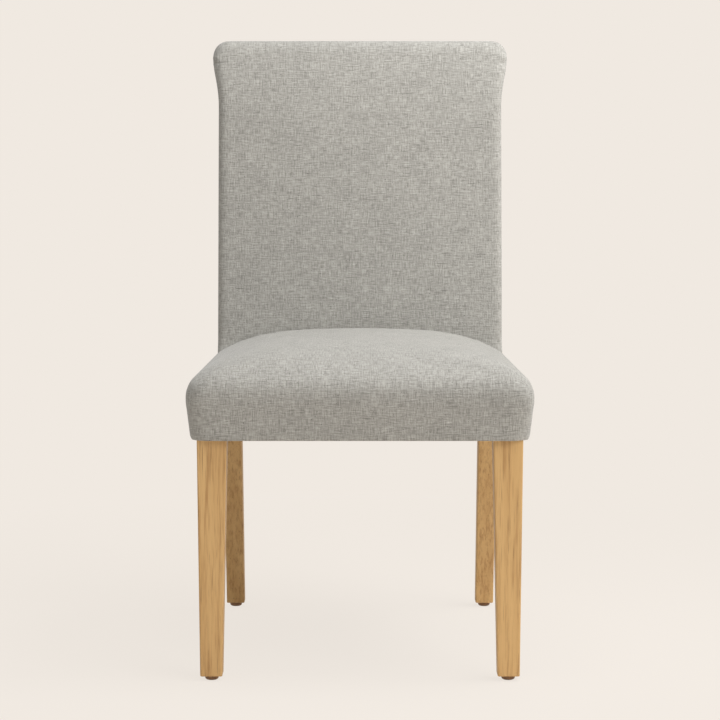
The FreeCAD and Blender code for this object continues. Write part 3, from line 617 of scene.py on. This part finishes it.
# Glides
def make_glide(node):
    """A round bevelled glide in the place of the node."""
    low, high = (Vector(corner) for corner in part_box(node))
    middle = (low + high) / 2
    radius = (high.x - low.x) / 2
    top = high.z
    flat = 0.0062
    bevel = 0.0040
    profile = [(0.0, 0.0012), (0.0028, 0.0012), (0.0029, 0.0), (flat, 0.0)]
    for k in range(1, 9):
        angle = math.pi / 2 * k / 8
        profile.append((flat + (radius - flat) * math.sin(angle), bevel * (1 - math.cos(angle))))
    profile += [(radius, top - 0.0004), (radius - 0.0004, top), (0.0, top)]
    count = 48
    verts = []
    faces = []
    for r, z in profile:
        for k in range(count):
            angle = 2 * math.pi * k / count
            verts.append((middle.x + r * math.cos(angle), middle.y + r * math.sin(angle), z))
    for row in range(len(profile) - 1):
        a = row * count
        b = a + count
        for k in range(count):
            faces.append([a + k, a + (k + 1) % count, b + (k + 1) % count, b + k])
    glide = make_object(f"{node}_round", verts, faces)
    work = bmesh.new()
    work.from_mesh(glide.data)
    bmesh.ops.remove_doubles(work, verts=work.verts, dist=1e-6)
    work.to_mesh(glide.data)
    work.free()
    return glide


# Materials
CLOTH_DARK = (127, 125, 119)
CLOTH_LIGHT = (181, 179, 173)
CLOTH_SLUB = (78, 76, 72)
CLOTH_PALE = (206, 205, 200)
WOOD_LIGHT = (209, 170, 114)
WOOD_MIDDLE = (190, 149, 95)
WOOD_DARK = (156, 113, 66)
GLIDE_BROWN = (139, 100, 62)
RAW_LIGHT = (214, 190, 150)
RAW_MIDDLE = (200, 172, 130)
RAW_DARK = (176, 146, 104)
DUST_BLACK = (34, 34, 36)
WEBBING_BLACK = (66, 60, 54)
HESSIAN = (176, 150, 112)
CARDBOARD = (178, 146, 106)
BACKGROUND = (240, 233, 225)


def linear(red, green, blue):
    values = []
    for value in (red, green, blue):
        share = value / 255
        values.append(share / 12.92 if share <= 0.04045 else ((share + 0.055) / 1.055) ** 2.4)
    return (*values, 1.0)


class Shader:
    """One material and short ways to add its nodes."""

    def __init__(self, name):
        self.material = bpy.data.materials.new(name)
        self.material.use_nodes = True
        self.tree = self.material.node_tree
        self.tree.nodes.clear()
        self.output = self.node("ShaderNodeOutputMaterial")
        self.surface = self.node("ShaderNodeBsdfPrincipled")
        self.link(self.surface.outputs[0], self.output.inputs[0])
        self.places = self.node("ShaderNodeTexCoord").outputs["Object"]

    def node(self, kind, **settings):
        made = self.tree.nodes.new(kind)
        for key, value in settings.items():
            setattr(made, key, value)
        return made

    def link(self, source, target):
        self.tree.links.new(source, target)

    def put(self, target, value):
        if isinstance(value, bpy.types.NodeSocket):
            self.link(value, target)
        else:
            target.default_value = value

    def math(self, operation, first, second=0.0, clamp=False):
        made = self.node("ShaderNodeMath", operation=operation, use_clamp=clamp)
        self.put(made.inputs[0], first)
        self.put(made.inputs[1], second)
        return made.outputs[0]

    def scaled(self, vector, scale, location=(0, 0, 0)):
        made = self.node("ShaderNodeMapping")
        self.put(made.inputs["Vector"], vector)
        made.inputs["Scale"].default_value = scale
        made.inputs["Location"].default_value = location
        return made.outputs[0]

    def noise(self, vector, scale, detail=2.0, roughness=0.5, distortion=0.0):
        made = self.node("ShaderNodeTexNoise")
        self.put(made.inputs["Vector"], vector)
        made.inputs["Scale"].default_value = scale
        made.inputs["Detail"].default_value = detail
        made.inputs["Roughness"].default_value = roughness
        made.inputs["Distortion"].default_value = distortion
        return made.outputs["Fac"]

    def spread(self, value, low, high, out_low=0.0, out_high=1.0):
        made = self.node("ShaderNodeMapRange", clamp=True)
        self.put(made.inputs["Value"], value)
        for key, number in (("From Min", low), ("From Max", high), ("To Min", out_low), ("To Max", out_high)):
            made.inputs[key].default_value = number
        return made.outputs[0]

    def mix(self, share, first, second, blend="MIX"):
        made = self.node("ShaderNodeMix", data_type="RGBA", blend_type=blend)
        self.put(made.inputs[0], share)
        self.put(made.inputs[6], first)
        self.put(made.inputs[7], second)
        return made.outputs[2]

    def pick(self, share, first, second):
        made = self.node("ShaderNodeMix", data_type="VECTOR")
        self.put(made.inputs[0], share)
        self.put(made.inputs[4], first)
        self.put(made.inputs[5], second)
        return made.outputs[1]

    def bump(self, height, distance, strength=1.0, normal=None):
        made = self.node("ShaderNodeBump")
        made.inputs["Strength"].default_value = strength
        made.inputs["Distance"].default_value = distance
        self.link(height, made.inputs["Height"])
        if normal is not None:
            self.link(normal, made.inputs["Normal"])
        return made.outputs[0]

    def woven(self, place, scale, distortion):
        """Bands across times bands down, as threads cross."""
        bands = []
        for direction in ("X", "Y"):
            wave = self.node("ShaderNodeTexWave", wave_type="BANDS", wave_profile="SIN")
            wave.bands_direction = direction
            self.put(wave.inputs["Vector"], place)
            wave.inputs["Scale"].default_value = scale
            wave.inputs["Distortion"].default_value = distortion
            bands.append(wave.outputs["Fac"])
        return self.math("MULTIPLY", bands[0], bands[1])

    def cloth_places(self):
        """Coordinates in the cloth's own plane, whichever way the cloth faces."""
        split = self.node("ShaderNodeSeparateXYZ")
        self.link(self.places, split.inputs[0])
        x, y, z = split.outputs
        facing = self.node("ShaderNodeSeparateXYZ")
        self.link(self.node("ShaderNodeNewGeometry").outputs["Normal"], facing.inputs[0])
        flat_x, flat_y, flat_z = (self.math("ABSOLUTE", value) for value in facing.outputs)
        planes = []
        for u, v in ((x, z), (x, y), (y, z)):
            join = self.node("ShaderNodeCombineXYZ")
            self.link(u, join.inputs[0])
            self.link(v, join.inputs[1])
            planes.append(join.outputs[0])
        top = self.math("GREATER_THAN", flat_z, flat_y)
        side = self.math("GREATER_THAN", flat_x, 0.72)
        return self.pick(side, self.pick(top, planes[0], planes[1]), planes[2])


def linen(name):
    """Warm grey mixture cloth: light and dark yarns of uneven thickness, woven plain."""
    s = Shader(name)
    place = s.cloth_places()
    weft = s.noise(s.scaled(place, (75, 760, 1)), 1.0, 2.0, 0.55)
    warp = s.noise(s.scaled(place, (760, 75, 1), (7, 3, 0)), 1.0, 2.0, 0.55)
    threads = s.math("ADD", s.math("MULTIPLY", weft, 0.5), s.math("MULTIPLY", warp, 0.5))
    ground = s.mix(s.spread(threads, 0.34, 0.66), linear(*CLOTH_DARK), linear(*CLOTH_LIGHT))
    long_weft = s.noise(s.scaled(place, (34, 420, 1), (2, 9, 0)), 1.0, 3.0, 0.6)
    long_warp = s.noise(s.scaled(place, (420, 40, 1), (5, 1, 0)), 1.0, 3.0, 0.6)
    slubs = s.math("MAXIMUM", s.spread(long_weft, 0.60, 0.74), s.spread(long_warp, 0.62, 0.76))
    ground = s.mix(s.math("MULTIPLY", slubs, 0.62), ground, linear(*CLOTH_SLUB))
    specks = s.noise(s.scaled(place, (430, 430, 1), (1, 8, 0)), 1.0, 1.0, 0.5)
    specks = s.spread(specks, 0.66, 0.76)
    ground = s.mix(s.math("MULTIPLY", specks, 0.75), ground, linear(*CLOTH_SLUB))
    pale = s.noise(s.scaled(place, (60, 620, 1), (4, 4, 0)), 1.0, 2.0, 0.6)
    pale = s.spread(pale, 0.60, 0.76)
    ground = s.mix(s.math("MULTIPLY", pale, 0.6), ground, linear(*CLOTH_PALE))
    cloud = s.spread(s.noise(s.places, 26.0, 4.0, 0.6), 0.3, 0.7, 0.94, 1.05)
    tint = s.node("ShaderNodeCombineColor")
    for socket in tint.inputs:
        s.link(cloud, socket)
    s.link(s.mix(1.0, ground, tint.outputs[0], "MULTIPLY"), s.surface.inputs["Base Color"])
    weave = s.woven(place, 420.0 / math.pi / 2, 0.6)
    height = s.math("ADD", s.math("MULTIPLY", weave, 0.5), s.math("MULTIPLY", threads, 1.2))
    s.link(s.bump(height, 0.0006, 0.5), s.surface.inputs["Normal"])
    s.surface.inputs["Roughness"].default_value = 0.92
    s.surface.inputs["Specular IOR Level"].default_value = 0.18
    s.surface.inputs["Sheen Weight"].default_value = 0.25
    s.surface.inputs["Sheen Roughness"].default_value = 0.5
    return s.material


def hardwood(name, light, middle, dark, along=2, gloss=0.5):
    """Straight-grained hardwood with fine pores; along is the grain's axis."""
    s = Shader(name)
    stretch = [1.0, 1.0, 1.0]
    stretch[along] = 0.045
    long = s.scaled(s.places, stretch)
    broad = s.noise(long, 42.0, 3.0, 0.55, 0.6)
    fine = s.noise(long, 260.0, 3.0, 0.6)
    colour = s.mix(s.spread(broad, 0.32, 0.68), linear(*middle), linear(*light))
    colour = s.mix(s.spread(fine, 0.48, 0.72, 0.0, 0.7), colour, linear(*dark))
    stretch[along] = 0.022
    pores = s.noise(s.scaled(s.places, stretch, (3, 1, 2)), 900.0, 2.0, 0.5)
    pores = s.spread(pores, 0.62, 0.72)
    colour = s.mix(s.math("MULTIPLY", pores, 0.55), colour, linear(*[c * 0.72 for c in dark]))
    s.link(colour, s.surface.inputs["Base Color"])
    s.link(s.spread(fine, 0.3, 0.7, gloss - 0.06, gloss + 0.08), s.surface.inputs["Roughness"])
    height = s.math("SUBTRACT", s.math("MULTIPLY", fine, 0.4), pores)
    s.link(s.bump(height, 0.00025, 0.5), s.surface.inputs["Normal"])
    s.surface.inputs["Specular IOR Level"].default_value = 0.4
    return s.material


def plain_weave(name, colour, pitch, contrast=0.35):
    """A coarse cloth or webbing of one colour."""
    s = Shader(name)
    place = s.cloth_places()
    weave = s.woven(place, 1.0 / pitch / 2 / math.pi, 0.8)
    mottle = s.noise(s.places, 160.0, 3.0, 0.6)
    shade = s.math("ADD", s.math("MULTIPLY", weave, contrast), s.math("MULTIPLY", mottle, contrast))
    dark = linear(*[c * 0.7 for c in colour])
    s.link(s.mix(s.spread(shade, 0.1, 0.6), dark, linear(*colour)), s.surface.inputs["Base Color"])
    s.link(s.bump(weave, pitch * 0.3, 0.6), s.surface.inputs["Normal"])
    s.surface.inputs["Roughness"].default_value = 0.95
    s.surface.inputs["Specular IOR Level"].default_value = 0.2
    return s.material


def moulded(name, colour, roughness=0.45):
    s = Shader(name)
    mottle = s.noise(s.places, 220.0, 3.0, 0.6)
    dark = linear(*[c * 0.85 for c in colour])
    shade = s.spread(mottle, 0.35, 0.65)
    s.link(s.mix(shade, dark, linear(*colour)), s.surface.inputs["Base Color"])
    s.link(s.spread(mottle, 0.3, 0.7, roughness - 0.07, roughness + 0.1), s.surface.inputs["Roughness"])
    s.link(s.bump(s.noise(s.places, 1400.0, 2.0, 0.5), 0.0001, 0.3), s.surface.inputs["Normal"])
    return s.material


def zinc(name):
    s = Shader(name)
    grain = s.noise(s.scaled(s.places, (1, 1, 0.2)), 700.0, 3.0, 0.6)
    s.link(s.mix(grain, linear(150, 152, 156), linear(196, 198, 202)), s.surface.inputs["Base Color"])
    s.link(s.spread(grain, 0.3, 0.7, 0.28, 0.45), s.surface.inputs["Roughness"])
    s.surface.inputs["Metallic"].default_value = 1.0
    return s.material


def board(name, colour):
    s = Shader(name)
    fibre = s.noise(s.scaled(s.places, (0.3, 1, 1)), 500.0, 3.0, 0.6)
    dark = linear(*[c * 0.82 for c in colour])
    s.link(s.mix(fibre, dark, linear(*colour)), s.surface.inputs["Base Color"])
    s.surface.inputs["Roughness"].default_value = 0.9
    return s.material


def dressed(obj, material):
    obj.data.materials.clear()
    obj.data.materials.append(material)


def dress_node(name, material):
    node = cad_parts[name]
    if not node.material_slots:
        node.data.materials.append(material)
    for slot in node.material_slots:
        slot.link = "OBJECT"
        slot.material = material


# Build the pieces
cloth = linen("linen_mixture")
seat = make_seat()
back = make_back()
outside = make_outside_back()
for piece in (seat, back, outside):
    dressed(piece, cloth)
    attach(piece, "root")
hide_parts("seat_cover", "seat_batting", "seat_foam")
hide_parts("back_cover", "back_batting", "back_foam", "roll_padding")
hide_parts("outside_back_panel")

dust, dust_area = make_dust_cover()
dressed(dust, plain_weave("spunbonded_black", DUST_BLACK, 0.0012, 0.3))
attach(dust, "root")
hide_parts("dust_cover")
staples = make_staples()
metal = zinc("zinc_plate")
dressed(staples, metal)
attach(staples, "root")

brown = moulded("glide_brown", GLIDE_BROWN)
for end in ("front", "rear"):
    for hand in ("left", "right"):
        glide = make_glide(f"{end}_{hand}_glide")
        dressed(glide, brown)
        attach(glide, "root")
        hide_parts(f"{end}_{hand}_glide")

legs_wood = hardwood("honey_hardwood", WOOD_LIGHT, WOOD_MIDDLE, WOOD_DARK)
for name in ("front_left_leg", "front_right_leg", "rear_left_post", "rear_right_post"):
    dress_node(name, legs_wood)
raw = [
    hardwood(f"raw_hardwood_{axis}", RAW_LIGHT, RAW_MIDDLE, RAW_DARK, along, 0.7)
    for along, axis in enumerate("xyz")]
for name in ("seat_front_rail", "seat_rear_rail", "back_lower_rail", "crest_rail", "back_rail_dowels",
             "seat_rail_dowels"):
    dress_node(name, raw[0])
for name in ("seat_left_rail", "seat_right_rail"):
    dress_node(name, raw[1])
for end in ("front", "rear"):
    for hand in ("left", "right"):
        dress_node(f"{end}_{hand}_corner_block", raw[2])
for name in ("corner_block_screws", "leg_hanger_bolts", "hanger_bolt_washers", "hanger_bolt_nuts",
             "glide_nails"):
    dress_node(name, metal)
webbing = plain_weave("webbing_black", WEBBING_BLACK, 0.002)
for name in ("seat_webbing_lengthwise", "seat_webbing_crosswise", "back_webbing"):
    dress_node(name, webbing)
hessian = plain_weave("hessian", HESSIAN, 0.0022, 0.5)
for name in ("seat_deck_cloth", "back_deck_cloth"):
    dress_node(name, hessian)
dress_node("outside_back_tack_strip", board("cardboard", CARDBOARD))


# Floor, light and camera
def make_floor():
    """A floor seen as the flat background, with a faint part of its real shading near the chair."""
    size = 12.0
    corners = [(-size, -size, 0), (size, -size, 0), (size, size, 0), (-size, size, 0)]
    floor = make_object("floor", corners, [[0, 1, 2, 3]], smooth=False)
    s = Shader("pale_floor")
    s.tree.nodes.remove(s.surface)
    lit = s.node("ShaderNodeBsdfDiffuse")
    lit.inputs["Color"].default_value = linear(*BACKGROUND)
    flat = s.node("ShaderNodeEmission")
    flat.inputs["Color"].default_value = linear(*BACKGROUND)
    path = s.node("ShaderNodeLightPath")
    seen = s.math("ADD", path.outputs["Is Camera Ray"], path.outputs["Is Glossy Ray"], True)
    seen = s.math("ADD", seen, path.outputs["Is Transmission Ray"], True)
    length = s.node("ShaderNodeVectorMath", operation="LENGTH")
    s.link(s.places, length.inputs[0])
    shadow_share = s.spread(length.outputs["Value"], 0.45, 1.5, FLOOR_SHADOW, 0.0)
    share = s.math("MULTIPLY", seen, s.math("SUBTRACT", 1.0, shadow_share))
    mix = s.node("ShaderNodeMixShader")
    s.link(share, mix.inputs[0])
    s.link(lit.outputs[0], mix.inputs[1])
    s.link(flat.outputs[0], mix.inputs[2])
    s.link(mix.outputs[0], s.output.inputs[0])
    dressed(floor, s.material)


def make_world():
    """Soft light from all round, seen as the flat background."""
    world = bpy.data.worlds.new("studio")
    world.use_nodes = True
    tree = world.node_tree
    tree.nodes.clear()
    out = tree.nodes.new("ShaderNodeOutputWorld")
    mix = tree.nodes.new("ShaderNodeMixShader")
    light = tree.nodes.new("ShaderNodeBackground")
    light.inputs["Color"].default_value = (1.0, 0.985, 0.965, 1.0)
    light.inputs["Strength"].default_value = WORLD_LIGHT
    flat = tree.nodes.new("ShaderNodeBackground")
    flat.inputs["Color"].default_value = linear(*BACKGROUND)
    path = tree.nodes.new("ShaderNodeLightPath")
    seen = path.outputs["Is Camera Ray"]
    for other in ("Is Glossy Ray", "Is Transmission Ray"):
        add = tree.nodes.new("ShaderNodeMath")
        add.operation = "ADD"
        add.use_clamp = True
        tree.links.new(seen, add.inputs[0])
        tree.links.new(path.outputs[other], add.inputs[1])
        seen = add.outputs[0]
    tree.links.new(seen, mix.inputs[0])
    tree.links.new(light.outputs[0], mix.inputs[1])
    tree.links.new(flat.outputs[0], mix.inputs[2])
    tree.links.new(mix.outputs[0], out.inputs[0])
    scene.world = world


def area_light(name, place, target, size, power, colour=(1.0, 1.0, 1.0)):
    data = bpy.data.lights.new(name, "AREA")
    data.shape = "RECTANGLE"
    data.size, data.size_y = size
    data.energy = power
    data.color = colour
    lamp = bpy.data.objects.new(name, data)
    lamp.location = place
    lamp.rotation_euler = (Vector(target) - Vector(place)).to_track_quat("-Z", "Y").to_euler()
    scene.collection.objects.link(lamp)


FLOOR_SHADOW = 0.1
WORLD_LIGHT = 0.42
make_floor()
make_world()
area_light("key", (1.6, -1.8, 2.3), (0.0, 0.0, 0.55), (1.6, 1.4), 36.0)
area_light("top", (0.2, -0.2, 2.7), (0.0, 0.0, 0.5), (2.0, 1.6), 18.0)
area_light("side", (1.0, -0.25, 1.9), (0.0, 0.1, 0.6), (0.7, 0.7), 18.0)
area_light("fill", (-0.7, -2.6, 0.3), (0.0, 0.2, 0.25), (0.9, 0.5), 4.0, (1.0, 0.97, 0.94))
area_light("rim", (1.8, 0.9, 1.1), (0.1, 0.1, 0.6), (0.8, 1.6), 6.0)

camera_data = bpy.data.cameras.new("camera")
camera_data.lens = 117.74
camera_data.sensor_width = 36.0
camera_data.clip_end = 60.0
camera = bpy.data.objects.new("camera", camera_data)
camera.location = (0.0, -3.6325, 0.7743)
camera.rotation_euler = (math.radians(90 - 5.24), 0.0, 0.0)
scene.collection.objects.link(camera)
scene.camera = camera
scene.view_settings.view_transform = "Standard"
